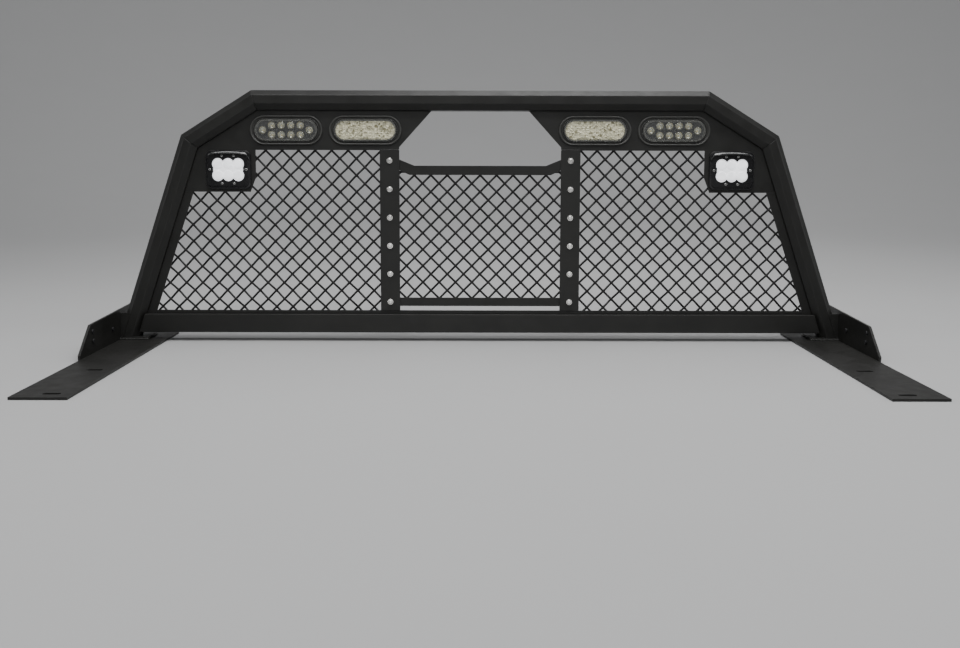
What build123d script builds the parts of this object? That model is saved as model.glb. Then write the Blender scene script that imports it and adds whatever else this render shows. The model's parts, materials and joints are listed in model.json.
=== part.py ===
"""Headache rack for a pickup bed: a leaned, octagonal-tube frame on two bed-rail feet.

Frame of the part: X across the truck, -Y towards the tailgate (the lights face it), +Y towards the cab, +Z up.
The origin is the centre of the bounding box at the level of the feet's undersides. All lengths are millimetres.

The rack itself is drawn in its own plane: x across, y up along the rack from the top of the foot plates,
and z towards the tailgate, so a depth behind the rack's front face is a negative z.
"""

from build123d import *
from math import atan2, cos, degrees, radians, sin, sqrt
import os

# ---------------------------------------------------------------- driving dimensions
LEAN = 5.5                      # the rack's lean towards the cab, degrees

# octagonal frame tube
TUBE = 50.8                     # across flats
TUBE_WALL = 2.5
TUBE_TURN = 22.5                # turns the octagon so that it has a flat face in front
TUBE_SPARE = 80.0               # extra length at each end before the mitres are cut
TOP_CORNER = (597.0, 651.0)     # outer corner between top tube and shoulder (x, height along the rack)
SIDE_CORNER = (782.5, 536.0)    # outer corner between shoulder and leg
LEG_OUT_AT_FOOT = 963.5         # where the leg's outer face would reach the foot plate

# bottom beam, rectangular tube
BEAM_LOW = 18.5
BEAM_HIGH = 67.0
BEAM_WALL = 3.0

# flat sheet parts of the rack, all in one layer
SHEET_DEPTH = 20.0              # depth of the front faces of panels and strips behind the tubes' front
SHEET = 3.0
STRIP_WIDTH = 22.0              # edge strip beside a leg
BOTTOM_STRIP_HIGH = 76.5        # top of the strip along the bottom beam

# light panels
PANEL_LOW = 498.0               # lower edge between upright and floodlight
PANEL_NOTCH_X = 590.0           # inner edge of the floodlight's part
PANEL_NOTCH_Y = 428.0
PANEL_FOOT_X = 605.0
PANEL_FOOT_Y = 389.0

# window over the centre screen
WINDOW_TOP_HALF = 127.0
WINDOW_SIDE_HALF = 212.5
WINDOW_SIDE_Y = 506.0

# uprights beside the centre screen
UPRIGHT_WIDTH = 51.0
UPRIGHT_THICK = 6.0
UPRIGHT_TOP = 500.0
BOLT_LOW = 99.0
BOLT_PITCH = 74.3
BOLTS_EACH_SIDE = 6
BOLT_HOLE = 3.3                 # radius
BOLT_SHANK = 3.0                # radius
BOLT_HEAD = 12.0
BOLT_HEAD_HIGH = 4.0
BOLT_HEAD_ROUND = 2.5
BOLT_SOCKET = 2.3               # radius over the corners
BOLT_SOCKET_DEEP = 2.2
BOLT_PROUD = 2.0                # what stands out of the nut
WASHER = 15.0
WASHER_THICK = 1.5
NUT = 10.0
NUT_HIGH = 5.0
NUT_BORE = 3.05                 # radius

# centre screen
SCREEN_TOP = 458.0
SCREEN_OPEN_TOP = 434.0
SCREEN_OPEN_LOW = 110.5
SCREEN_LOW = 88.0
SCREEN_EAR_HALF = 173.0         # where the top bar starts to rise towards the uprights
SCREEN_EAR_Y = 474.0
SCREEN_EAR_INNER = 186.0
SCREEN_EAR_RISE = 12.0          # how far the bar's underside rises towards the uprights
SIDE_BAR_IN = 2.0               # side bar's inner edge, in from the upright's
SIDE_BAR_OUT = 8.0              # side bar's outer edge, in from the upright's
SIDE_BAR_TOP = 488.0

# woven wire, its diamonds standing on their corners
DIAMOND = 43.5
WIRE = 5.6
LIP = 12.0                      # how far the wire reaches behind its edging
WIRE_FROM_UPRIGHT = 5.0         # edge of a wire panel, beside the middle of an upright
WIRE_AT_FLOODLIGHT = 602.0      # edge of a side panel's wire beside the floodlight

# oval lamps
LAMP_Y = 549.0
LAMP_X = (301.0, 508.0)
LAMP_LENS = (165.0, 57.0)
GROMMET = (190.0, 76.0)
LAMP_HOLE = (178.0, 65.0)
GROMMET_FRONT = 5.0             # how far the rubber lip stands in front of the panel
GROMMET_BACK = 6.0
GROMMET_ROUND = 3.5
LAMP_BODY = (170.0, 60.0)
LAMP_BODY_DEEP = 26.0
LAMP_RECESS = 2.0               # the body's front edge, behind the lip's
LAMP_SKIN = 2.0
SOCKET_OUTER = (34.0, 22.0)     # connector socket on a lamp's back
SOCKET_INNER = (28.0, 16.0)
SOCKET_DEEP = 14.0
SOCKET_FLOOR = 3.0
LED_PITCH = 25.0
LED_ROW = 12.3
LED_END = 61.25
LED_BASE = 5.0
LED_HIGH = 2.0
BOARD_DEEP = 15.0
BOARD_THICK = 1.6
COVER_SEAT = 3.0
COVER_PROUD = 2.5
COVER_ROUND = 2.0
OPTIC = (3.5, 10.0, 9.0)        # radius at the board, radius at the cover, depth

# floodlights set into the panels
FLOOD_X = 661.0
FLOOD_Y = 446.0
BEZEL = (118.0, 101.0)
BEZEL_THICK = 9.0
FLOOD_HOLE = (92.0, 84.0)
FLOOD_HOLE_ROUND = 10.0
FLOOD_LENS = (88.0, 64.0)
FLOOD_BODY_DEEP = 52.0
FLOOD_SKIN = 4.0
FLOOD_BODY = (90.0, 82.0)
FLOOD_CAVITY = 20.0
BEZEL_ROUND = 16.0
LENS_ROUND = 12.0
LENS_GAP = 0.6                  # between lens and bezel, both sides together
LENS_RECESS = 2.0
LENS_THICK = 6.0
BROW = 6.0                      # how far the brow stands in front of the bezel
BROW_HIGH = 18.0
FIN_GAP = 4.5
FIN_PITCH = 9.0
FIN_DEEP = 22.0
BEZEL_SCREWS = ((-15.7, 36.0), (15.7, 36.0), (-15.7, -36.0), (15.7, -36.0), (-47.5, 0.0), (47.5, 0.0))
GASKET = 1.5
SCREW_HEAD = 3.6                # radius
SCREW_HEAD_HIGH = 2.4
SCREW_SHANK = 1.9               # radius
SCREW_SINK = 1.0                # how far a head's seat lies behind the bezel's face
FLOOD_BOARD_DEEP = 18.0
FLOOD_BOARD_THICK = 2.0
FLOOD_SOURCES = ((-27, -15), (0, -15), (27, -15), (-27, 15), (0, 15), (27, 15))
FLOOD_SOURCE = 7.0
FLOOD_SOURCE_HIGH = 2.5
REFLECTOR = (5.0, 12.5, 12.0)   # radius at the board, radius at the lens, depth

# feet
PLATE = 6.0
FOOT_OUT = 953.0                # outer edge of the foot plate, where the side plate stands
FOOT_WIDTH = 120.0
FOOT_FRONT = -570.0             # measured from the rack's front face at the foot
FOOT_BACK = 102.0
SLOT_X = 877.0
SLOT_Y = (-542.0, -339.0)
SLOT_LENGTH = 38.0
SLOT_WIDTH = 12.0
SHOE = 6.0
SHOE_IN = 880.0                 # inner edge of the plate under a leg
SHOE_FRONT = -4.0
SHOE_BACK = 62.0
SIDE_TOP_FRONT = (-172.0, 71.0)
SIDE_TOP_BACK_HEIGHT = 81.0
SIDE_LOW_FRONT = (-240.0, 9.0)
SIDE_CORNER_CUT = 10.0
SIDE_BOLTS = ((-164.0, 53.0), (-164.0, 30.0), (-46.0, 36.0))
SIDE_BOLT_SHANK = 4.0           # radius
SIDE_BOLT_HEAD = 5.5            # radius
SIDE_BOLT_HEAD_HIGH = 3.0
SIDE_BOLT_SLACK = 0.2
WEB_HIGH = 70.0
WEB_DEPTH = 1.0
WEB = 4.0

# ---------------------------------------------------------------- derived values
HALF = TUBE / 2
SHEET_BACK = SHEET_DEPTH + SHEET
THROUGH = 100.0                 # longer than any hole is deep
RACK = Plane(
    origin=(0, 0, PLATE),
    x_dir=(1, 0, 0),
    z_dir=(0, -cos(radians(LEAN)), sin(radians(LEAN))),
)
LEG_SLOPE = (LEG_OUT_AT_FOOT - SIDE_CORNER[0]) / SIDE_CORNER[1]
LEG_TILT = atan2(LEG_OUT_AT_FOOT - SIDE_CORNER[0], SIDE_CORNER[1])

parts = {}


def place(shape):
    """Moves a shape from the rack's own plane into the part's frame."""
    return RACK.location * shape


def flip(shape):
    """The mirror image on the other side of the truck."""
    return mirror(shape, about=Plane.YZ)


def both(name, shape):
    """Stores a right-hand piece and its left-hand mirror image."""
    parts["right_" + name] = shape
    parts["left_" + name] = flip(shape)


def sheet(points, front=SHEET_DEPTH, thick=SHEET):
    """A flat plate of the rack, with its front face at the given depth."""
    outline = make_face(Polyline(*points, close=True))
    return Pos(0, 0, -front - thick) * extrude(outline, amount=thick)


def stadium(size, front, deep):
    """An oval slab of the given overall size, from depth front to depth front + deep."""
    return Pos(0, 0, -front - deep) * extrude(SlotOverall(size[0], size[1]), amount=deep)


def rounded_slab(size, radius, front, deep):
    """A rectangular slab with rounded corners."""
    return Pos(0, 0, -front - deep) * extrude(RectangleRounded(size[0], size[1], radius), amount=deep)


def leg_outer_x(height):
    """The leg's outer face at a height along the rack."""
    return SIDE_CORNER[0] + (SIDE_CORNER[1] - height) * LEG_SLOPE


def leg_inner_x(height, clearance=0.0):
    """The leg's inner face at a height along the rack."""
    return leg_outer_x(height) - (TUBE + clearance) / cos(LEG_TILT)


# ---------------------------------------------------------------- frame tubes
def unit(a, b):
    length = sqrt((b[0] - a[0]) ** 2 + (b[1] - a[1]) ** 2)
    return ((b[0] - a[0]) / length, (b[1] - a[1]) / length)


def octagon(half):
    """An octagon of the given half width over its flats, with a flat on each side."""
    return RegularPolygon(half, 8, major_radius=False, rotation=TUBE_TURN)


def octagonal_tube(a, b, cut_a, cut_b):
    """A straight octagonal tube whose outer face runs from a to b, with mitre planes at its ends."""
    d = unit(a, b)
    inward = (d[1], -d[0])
    start = (a[0] + inward[0] * HALF - d[0] * TUBE_SPARE, a[1] + inward[1] * HALF - d[1] * TUBE_SPARE, -HALF)
    length = sqrt((b[0] - a[0]) ** 2 + (b[1] - a[1]) ** 2) + 2 * TUBE_SPARE
    outer = octagon(HALF)
    inner = octagon(HALF - TUBE_WALL)
    section = Plane(origin=start, x_dir=(0, 0, 1), z_dir=(d[0], d[1], 0)) * (outer - inner)
    tube = extrude(section, amount=length, dir=(d[0], d[1], 0))
    for cut in (cut_a, cut_b):
        if cut is not None:
            tube = split(tube, bisect_by=cut, keep=Keep.TOP)
    return tube


def mitre(before, corner, after, side):
    """The plane that halves the angle of a corner; side +1 keeps what follows the corner."""
    d1 = unit(before, corner)
    d2 = unit(corner, after)
    normal = (d1[0] + d2[0], d1[1] + d2[1], 0)
    return Plane(origin=(corner[0], corner[1], 0), z_dir=tuple(side * n for n in normal))


left_top = (-TOP_CORNER[0], TOP_CORNER[1])
leg_end = (LEG_OUT_AT_FOOT, 0.0)
parts["top_beam"] = place(
    octagonal_tube(
        left_top,
        TOP_CORNER,
        mitre((-SIDE_CORNER[0], SIDE_CORNER[1]), left_top, TOP_CORNER, 1),
        mitre(left_top, TOP_CORNER, SIDE_CORNER, -1),
    )
)
both(
    "shoulder_tube",
    place(
        octagonal_tube(
            TOP_CORNER,
            SIDE_CORNER,
            mitre(left_top, TOP_CORNER, SIDE_CORNER, 1),
            mitre(TOP_CORNER, SIDE_CORNER, leg_end, -1),
        )
    ),
)
leg = place(octagonal_tube(SIDE_CORNER, leg_end, mitre(TOP_CORNER, SIDE_CORNER, leg_end, 1), None))
leg = split(leg, bisect_by=Plane.XY.offset(PLATE + SHOE), keep=Keep.TOP)
leg = split(leg, bisect_by=Plane.YZ.offset(FOOT_OUT), keep=Keep.BOTTOM)
both("leg_tube", leg)

# the bottom beam runs between the legs' inner faces, its ends cut to their slope
beam_height = BEAM_HIGH - BEAM_LOW
low_x = leg_inner_x(BEAM_LOW)
high_x = leg_inner_x(BEAM_HIGH)
beam_outline = [(-low_x, BEAM_LOW), (low_x, BEAM_LOW), (high_x, BEAM_HIGH), (-high_x, BEAM_HIGH)]
beam = sheet(beam_outline, 0.0, TUBE)
beam_hollow = Box(2 * FOOT_OUT, beam_height - 2 * BEAM_WALL, TUBE - 2 * BEAM_WALL)
parts["bottom_beam"] = place(beam - Pos(0, (BEAM_LOW + BEAM_HIGH) / 2, -HALF) * beam_hollow)

# ---------------------------------------------------------------- edge strips
strip_low = leg_inner_x(BEAM_HIGH)
strip_high = leg_inner_x(PANEL_FOOT_Y)
strip_across = STRIP_WIDTH / cos(LEG_TILT)
bottom_half = leg_inner_x(BOTTOM_STRIP_HIGH) - strip_across
both(
    "leg_strip",
    place(
        sheet(
            [
                (strip_low, BEAM_HIGH),
                (strip_high, PANEL_FOOT_Y),
                (strip_high - strip_across, PANEL_FOOT_Y),
                (strip_low - strip_across, BEAM_HIGH),
            ]
        )
    ),
)
parts["bottom_strip"] = place(
    sheet(
        [
            (-strip_low + strip_across, BEAM_HIGH),
            (strip_low - strip_across, BEAM_HIGH),
            (bottom_half, BOTTOM_STRIP_HIGH),
            (-bottom_half, BOTTOM_STRIP_HIGH),
        ]
    )
)

# ---------------------------------------------------------------- light panels
beam_under = TOP_CORNER[1] - TUBE
shoulder = unit(TOP_CORNER, SIDE_CORNER)
shoulder_slope = -shoulder[1] / shoulder[0]
shoulder_drop = TUBE / shoulder[0]
inner_corner_x = TOP_CORNER[0] - (shoulder_drop - TUBE) / shoulder_slope


def shoulder_inner_y(x):
    """The shoulder's inner face above a place across the rack."""
    return TOP_CORNER[1] - shoulder_drop - (x - TOP_CORNER[0]) * shoulder_slope


# where the shoulder's inner face meets the leg's inner face
leg_at_top = leg_inner_x(0)
side_inner_x = (
    shoulder_inner_y(0) - leg_at_top / LEG_SLOPE
) / (shoulder_slope - 1 / LEG_SLOPE)
side_inner_y = shoulder_inner_y(side_inner_x)
panel = sheet(
    [
        (WINDOW_TOP_HALF, beam_under),
        (inner_corner_x, beam_under),
        (side_inner_x, side_inner_y),
        (leg_inner_x(PANEL_FOOT_Y), PANEL_FOOT_Y),
        (PANEL_FOOT_X, PANEL_FOOT_Y),
        (PANEL_NOTCH_X, PANEL_NOTCH_Y),
        (PANEL_NOTCH_X, PANEL_LOW),
        (WINDOW_SIDE_HALF + UPRIGHT_WIDTH, PANEL_LOW),
        (WINDOW_SIDE_HALF + UPRIGHT_WIDTH, UPRIGHT_TOP),
        (WINDOW_SIDE_HALF, UPRIGHT_TOP),
        (WINDOW_SIDE_HALF, WINDOW_SIDE_Y),
    ]
)
for lamp_x in LAMP_X:
    panel -= Pos(lamp_x, LAMP_Y) * stadium(LAMP_HOLE, 0.0, THROUGH)
panel -= Pos(FLOOD_X, FLOOD_Y) * rounded_slab(FLOOD_HOLE, FLOOD_HOLE_ROUND, 0.0, THROUGH)
both("light_panel", place(panel))

# ---------------------------------------------------------------- uprights and centre screen
upright_mid = WINDOW_SIDE_HALF + UPRIGHT_WIDTH / 2
bolt_heights = [BOLT_LOW + i * BOLT_PITCH for i in range(BOLTS_EACH_SIDE)]
upright_front = SHEET_BACK - UPRIGHT_THICK
upright = sheet(
    [
        (WINDOW_SIDE_HALF, BOTTOM_STRIP_HIGH),
        (WINDOW_SIDE_HALF + UPRIGHT_WIDTH, BOTTOM_STRIP_HIGH),
        (WINDOW_SIDE_HALF + UPRIGHT_WIDTH, PANEL_LOW),
        (WINDOW_SIDE_HALF, PANEL_LOW),
    ],
    upright_front,
    UPRIGHT_THICK,
)

# the screen's side bars lie behind the uprights, past the wire, and are bolted through them
side_bar_front = SHEET_BACK + 2 * WIRE
side_bar_in = WINDOW_SIDE_HALF + SIDE_BAR_IN
side_bar_out = WINDOW_SIDE_HALF + UPRIGHT_WIDTH - SIDE_BAR_OUT
side_bar = sheet(
    [
        (side_bar_in, SCREEN_LOW),
        (side_bar_out, SCREEN_LOW),
        (side_bar_out, SIDE_BAR_TOP),
        (side_bar_in, SIDE_BAR_TOP),
    ],
    side_bar_front,
    SHEET,
)
head_back = upright_front - WASHER_THICK
nut_front = side_bar_front + SHEET
shank_length = nut_front + NUT_HIGH + BOLT_PROUD - head_back
bolts = []
washers = []
nuts = []
for y in bolt_heights:
    hole = Pos(upright_mid, y, -THROUGH) * extrude(Circle(BOLT_HOLE), amount=THROUGH)
    upright -= hole
    side_bar -= hole
    for x in (-upright_mid, upright_mid):
        shank = Pos(x, y, -head_back - shank_length) * extrude(Circle(BOLT_SHANK), amount=shank_length)
        head = Pos(x, y, -head_back) * extrude(Circle(BOLT_HEAD / 2), amount=BOLT_HEAD_HIGH)
        head = fillet(head.edges().sort_by(Axis.Z)[-1], BOLT_HEAD_ROUND)
        socket_floor = BOLT_HEAD_HIGH - BOLT_SOCKET_DEEP - head_back
        socket = Pos(x, y, socket_floor) * extrude(RegularPolygon(BOLT_SOCKET, 6), amount=BOLT_HEAD_HIGH)
        bolts.append(place(head - socket + shank))
        washer = extrude(Circle(WASHER / 2) - Circle(BOLT_HOLE), amount=WASHER_THICK)
        washers.append(place(Pos(x, y, -upright_front) * washer))
        nut = extrude(RegularPolygon(NUT / 2, 6, major_radius=False) - Circle(NUT_BORE), amount=NUT_HIGH)
        nuts.append(place(Pos(x, y, -nut_front - NUT_HIGH) * nut))
both("upright", place(upright))
both("screen_side_bar", place(side_bar))
parts["screen_bolts"] = Compound(children=bolts)
parts["screen_washers"] = Compound(children=washers)
parts["screen_nuts"] = Compound(children=nuts)

bar_half = WINDOW_SIDE_HALF
parts["screen_top_bar"] = place(
    sheet(
        [
            (-bar_half, SCREEN_EAR_Y),
            (-SCREEN_EAR_HALF, SCREEN_TOP),
            (SCREEN_EAR_HALF, SCREEN_TOP),
            (bar_half, SCREEN_EAR_Y),
            (bar_half, SCREEN_OPEN_TOP + SCREEN_EAR_RISE),
            (SCREEN_EAR_INNER, SCREEN_OPEN_TOP),
            (-SCREEN_EAR_INNER, SCREEN_OPEN_TOP),
            (-bar_half, SCREEN_OPEN_TOP + SCREEN_EAR_RISE),
        ]
    )
)
parts["screen_bottom_bar"] = place(
    sheet(
        [
            (-bar_half, SCREEN_LOW),
            (bar_half, SCREEN_LOW),
            (bar_half, SCREEN_OPEN_LOW),
            (-bar_half, SCREEN_OPEN_LOW),
        ]
    )
)


# ---------------------------------------------------------------- woven wire
def lattice(outline):
    """Wire cloth inside an outline: a flat layer with square openings that stand on their corners."""
    box = outline.bounding_box()
    opening = Rectangle(DIAMOND / sqrt(2) - WIRE, DIAMOND / sqrt(2) - WIRE, rotation=45)
    columns = int((box.max.X - box.min.X) / DIAMOND) + 2
    rows = int((box.max.Y - box.min.Y) / DIAMOND) + 2
    start_x = round(box.min.X / DIAMOND) * DIAMOND
    start_y = round(box.min.Y / DIAMOND) * DIAMOND
    centres = []
    for column in range(columns):
        for row in range(rows):
            centres.append((start_x + column * DIAMOND, start_y + row * DIAMOND))
            centres.append((start_x + (column + 0.5) * DIAMOND, start_y + (row + 0.5) * DIAMOND))
    holes = Sketch() + [Pos(x, y) * opening for x, y in centres]
    return outline - holes


def wire_panel(points):
    """A panel of wire cloth behind the sheet parts; its outline is welded to a thin border wire."""
    outline = make_face(Polyline(*points, close=True))
    border = outline - offset(outline, amount=-2 * WIRE)
    cloth = extrude(lattice(outline) + border, amount=2 * WIRE)
    return place(Pos(0, 0, -SHEET_BACK - 2 * WIRE) * cloth)


wire_edge_low = leg_inner_x(BEAM_HIGH) - strip_across + LIP
wire_edge_high = leg_inner_x(PANEL_FOOT_Y) - strip_across + LIP
wire_in = upright_mid + WIRE_FROM_UPRIGHT
both(
    "wire_mesh",
    wire_panel(
        [
            (wire_in, BEAM_HIGH),
            (wire_edge_low, BEAM_HIGH),
            (wire_edge_high, PANEL_FOOT_Y + LIP),
            (PANEL_FOOT_X + 1.0, PANEL_FOOT_Y + LIP),
            (WIRE_AT_FLOODLIGHT, PANEL_NOTCH_Y),
            (WIRE_AT_FLOODLIGHT, PANEL_LOW + LIP),
            (wire_in, PANEL_LOW + LIP),
        ]
    ),
)
screen_wire_half = upright_mid - WIRE_FROM_UPRIGHT
parts["centre_wire_mesh"] = wire_panel(
    [
        (-screen_wire_half, SCREEN_OPEN_LOW - LIP),
        (screen_wire_half, SCREEN_OPEN_LOW - LIP),
        (screen_wire_half, SCREEN_OPEN_TOP + LIP),
        (-screen_wire_half, SCREEN_OPEN_TOP + LIP),
    ]
)

# ---------------------------------------------------------------- oval lamps
lamp_front = SHEET_DEPTH - GROMMET_FRONT + LAMP_RECESS
lamp_inside = (LAMP_BODY[0] - 2 * LAMP_SKIN, LAMP_BODY[1] - 2 * LAMP_SKIN)


def led_places():
    """Ten lights: two rows of four, and one more at each end of the oval."""
    rows = [((i - 1.5) * LED_PITCH, side * LED_ROW) for side in (-1, 1) for i in range(4)]
    return rows + [(-LED_END, 0.0), (LED_END, 0.0)]


def lamp_grommet():
    """Rubber ring with a groove round its waist that grips the panel's hole."""
    lip = stadium(GROMMET, SHEET_DEPTH - GROMMET_FRONT, GROMMET_FRONT)
    lip = fillet(lip.edges().group_by(Axis.Z)[-1], GROMMET_ROUND)
    waist = stadium(LAMP_HOLE, SHEET_DEPTH, SHEET)
    back = stadium(GROMMET, SHEET_BACK, GROMMET_BACK)
    bore = stadium(LAMP_BODY, 0.0, THROUGH)
    return lip + waist + back - bore


def lamp_housing():
    """Closed moulded shell behind the lens, with a connector socket on its back."""
    body = stadium(LAMP_BODY, lamp_front, LAMP_BODY_DEEP)
    body -= stadium(lamp_inside, 0.0, lamp_front + LAMP_BODY_DEEP - LAMP_SKIN)
    back = lamp_front + LAMP_BODY_DEEP
    boss = rounded_slab(SOCKET_OUTER, 3.0, back, SOCKET_DEEP)
    boss -= rounded_slab(SOCKET_INNER, 2.0, back + SOCKET_FLOOR, SOCKET_DEEP)
    return body + boss


def lamp_board():
    """Circuit board carrying the light sources."""
    board = stadium((lamp_inside[0] - 1, lamp_inside[1] - 1), lamp_front + BOARD_DEEP, BOARD_THICK)
    for x, y in led_places():
        board += Pos(x, y, -lamp_front - BOARD_DEEP) * extrude(Rectangle(LED_BASE, LED_BASE), amount=LED_HIGH)
    return board


def lamp_lens():
    """Clear cover with one moulded optic in front of each light source."""
    cover = stadium(lamp_inside, lamp_front, COVER_SEAT)
    cover += stadium(LAMP_LENS, lamp_front - COVER_PROUD, COVER_PROUD)
    cover = fillet(cover.edges().group_by(Axis.Z)[-1], COVER_ROUND)
    for x, y in led_places():
        cone = Cone(*OPTIC, align=(Align.CENTER, Align.CENTER, Align.MIN))
        cover += Pos(x, y, -lamp_front - COVER_SEAT - OPTIC[2]) * cone
    return cover


lamp_makers = {"grommet": lamp_grommet, "housing": lamp_housing, "led_board": lamp_board, "lens": lamp_lens}
for lamp_name, lamp_x in zip(("inner", "outer"), LAMP_X):
    for piece_name, maker in lamp_makers.items():
        both(f"{lamp_name}_lamp_{piece_name}", place(Pos(lamp_x, LAMP_Y) * maker()))

# ---------------------------------------------------------------- floodlights
bezel_front = SHEET_DEPTH - BEZEL_THICK
flood_inside = (FLOOD_BODY[0] - 2 * FLOOD_SKIN, FLOOD_BODY[1] - 2 * FLOOD_SKIN)
screw_hole = Pos(0, 0, -THROUGH) * extrude(Circle(SCREW_SHANK + 0.1), amount=THROUGH)


def flood_bezel():
    """Mounting frame in front of the panel, raised into an arched brow along its top."""
    frame = rounded_slab(BEZEL, BEZEL_ROUND, bezel_front, BEZEL_THICK - GASKET)
    brow = rounded_slab((BEZEL[0] - 2 * BROW, BROW_HIGH), BROW_HIGH / 2 - 1, bezel_front - BROW, BROW)
    frame += Pos(0, (BEZEL[1] - BROW_HIGH) / 2) * brow
    frame -= rounded_slab(FLOOD_LENS, LENS_ROUND, 0.0, THROUGH)
    seat = extrude(Circle(SCREW_HEAD + 0.3), amount=THROUGH)
    for x, y in BEZEL_SCREWS:
        frame -= Pos(x, y) * screw_hole
        frame -= Pos(x, y, -bezel_front - SCREW_SINK) * seat
    return frame


def flood_gasket():
    """Rubber sheet between bezel and panel."""
    pad = rounded_slab((BEZEL[0] - 2, BEZEL[1] - 2), BEZEL_ROUND - 1, SHEET_DEPTH - GASKET, GASKET)
    pad -= rounded_slab(FLOOD_LENS, LENS_ROUND, 0.0, THROUGH)
    for x, y in BEZEL_SCREWS:
        pad -= Pos(x, y) * screw_hole
    return pad


def flood_housing():
    """Cast body through the panel's hole, open to the front and finned at the back."""
    body = rounded_slab(FLOOD_BODY, FLOOD_HOLE_ROUND - 1, SHEET_DEPTH, FLOOD_BODY_DEEP)
    body -= rounded_slab(flood_inside, FLOOD_HOLE_ROUND - 3, 0.0, SHEET_DEPTH + FLOOD_CAVITY)
    back = SHEET_DEPTH + FLOOD_BODY_DEEP
    gaps = int(flood_inside[0] / FIN_PITCH)
    gap = Box(FIN_GAP, FLOOD_BODY[1] + 2, FIN_DEEP, align=(Align.CENTER, Align.CENTER, Align.MIN))
    for i in range(gaps):
        body -= Pos((i - (gaps - 1) / 2) * FIN_PITCH, 0, -back) * gap
    return body


def flood_board():
    """Metal-core board with six light sources, seated on the housing's floor."""
    front = SHEET_DEPTH + FLOOD_BOARD_DEEP
    size = (flood_inside[0] - 1, flood_inside[1] - 1)
    board = rounded_slab(size, FLOOD_HOLE_ROUND - 4, front, FLOOD_BOARD_THICK)
    source = extrude(Rectangle(FLOOD_SOURCE, FLOOD_SOURCE), amount=FLOOD_SOURCE_HIGH)
    for x, y in FLOOD_SOURCES:
        board += Pos(x, y, -front) * source
    return board


def flood_lens():
    """Clear cover filling the bezel's opening, with six optics behind it."""
    size = (FLOOD_LENS[0] - LENS_GAP, FLOOD_LENS[1] - LENS_GAP)
    cover = rounded_slab(size, LENS_ROUND - LENS_GAP / 2, bezel_front + LENS_RECESS, LENS_THICK)
    cup = Cone(*REFLECTOR, align=(Align.CENTER, Align.CENTER, Align.MIN))
    for x, y in FLOOD_SOURCES:
        cover += Pos(x, y, -bezel_front - LENS_RECESS - LENS_THICK - REFLECTOR[2]) * cup
    return cover


def flood_screws():
    """Six button-head screws through bezel and gasket."""
    head = Pos(0, 0, -bezel_front - SCREW_SINK) * extrude(Circle(SCREW_HEAD), amount=SCREW_HEAD_HIGH)
    head = fillet(head.edges().sort_by(Axis.Z)[-1], SCREW_HEAD_HIGH / 2)
    shank_length = SHEET_DEPTH - bezel_front - SCREW_SINK
    shank = Pos(0, 0, -SHEET_DEPTH) * extrude(Circle(SCREW_SHANK), amount=shank_length)
    return [Pos(x, y) * (head + shank) for x, y in BEZEL_SCREWS]


flood_makers = {
    "bezel": flood_bezel,
    "gasket": flood_gasket,
    "housing": flood_housing,
    "led_board": flood_board,
    "lens": flood_lens,
}
for piece_name, maker in flood_makers.items():
    both(f"flood_{piece_name}", place(Pos(FLOOD_X, FLOOD_Y) * maker()))
flood_screw_set = [place(Pos(FLOOD_X, FLOOD_Y) * screw) for screw in flood_screws()]
parts["right_flood_screws"] = Compound(children=flood_screw_set)
parts["left_flood_screws"] = Compound(children=[flip(screw) for screw in flood_screw_set])

# ---------------------------------------------------------------- feet
foot_mid_y = (FOOT_FRONT + FOOT_BACK) / 2
foot_mid_x = FOOT_OUT - FOOT_WIDTH / 2
foot = Pos(foot_mid_x, foot_mid_y, PLATE / 2) * Box(FOOT_WIDTH, FOOT_BACK - FOOT_FRONT, PLATE)
for slot_y in SLOT_Y:
    foot -= Pos(SLOT_X, slot_y) * extrude(SlotOverall(SLOT_LENGTH, SLOT_WIDTH), amount=PLATE)
both("foot_plate", foot)

shoe = Pos((SHOE_IN + FOOT_OUT) / 2, (SHOE_BACK + SHOE_FRONT) / 2, PLATE + SHOE / 2)
both("leg_shoe", shoe * Box(FOOT_OUT - SHOE_IN, SHOE_BACK - SHOE_FRONT, SHOE))

side_outline = [
    (SIDE_LOW_FRONT[0], 0.0),
    (SIDE_LOW_FRONT[0], PLATE + SIDE_LOW_FRONT[1]),
    (SIDE_TOP_FRONT[0], PLATE + SIDE_TOP_FRONT[1]),
    (FOOT_BACK - SIDE_CORNER_CUT, PLATE + SIDE_TOP_BACK_HEIGHT),
    (FOOT_BACK, PLATE + SIDE_TOP_BACK_HEIGHT - SIDE_CORNER_CUT),
    (FOOT_BACK, 0.0),
]
side_face = make_face(Polyline(*[(FOOT_OUT, y, z) for y, z in side_outline], close=True))
side = extrude(side_face, amount=PLATE, dir=(1, 0, 0))
side_bolts = []
for y, z in SIDE_BOLTS:
    across = Plane(origin=(FOOT_OUT, y, PLATE + z), z_dir=(1, 0, 0))
    side -= extrude(across * Circle(SIDE_BOLT_SHANK + SIDE_BOLT_SLACK), amount=PLATE)
    shank = extrude(across * Circle(SIDE_BOLT_SHANK), amount=PLATE)
    head = extrude(across * Circle(SIDE_BOLT_HEAD), amount=-SIDE_BOLT_HEAD_HIGH)
    side_bolts.append(head + shank)
both("side_plate", side)
parts["foot_bolts"] = Compound(children=side_bolts + [flip(bolt) for bolt in side_bolts])

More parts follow.
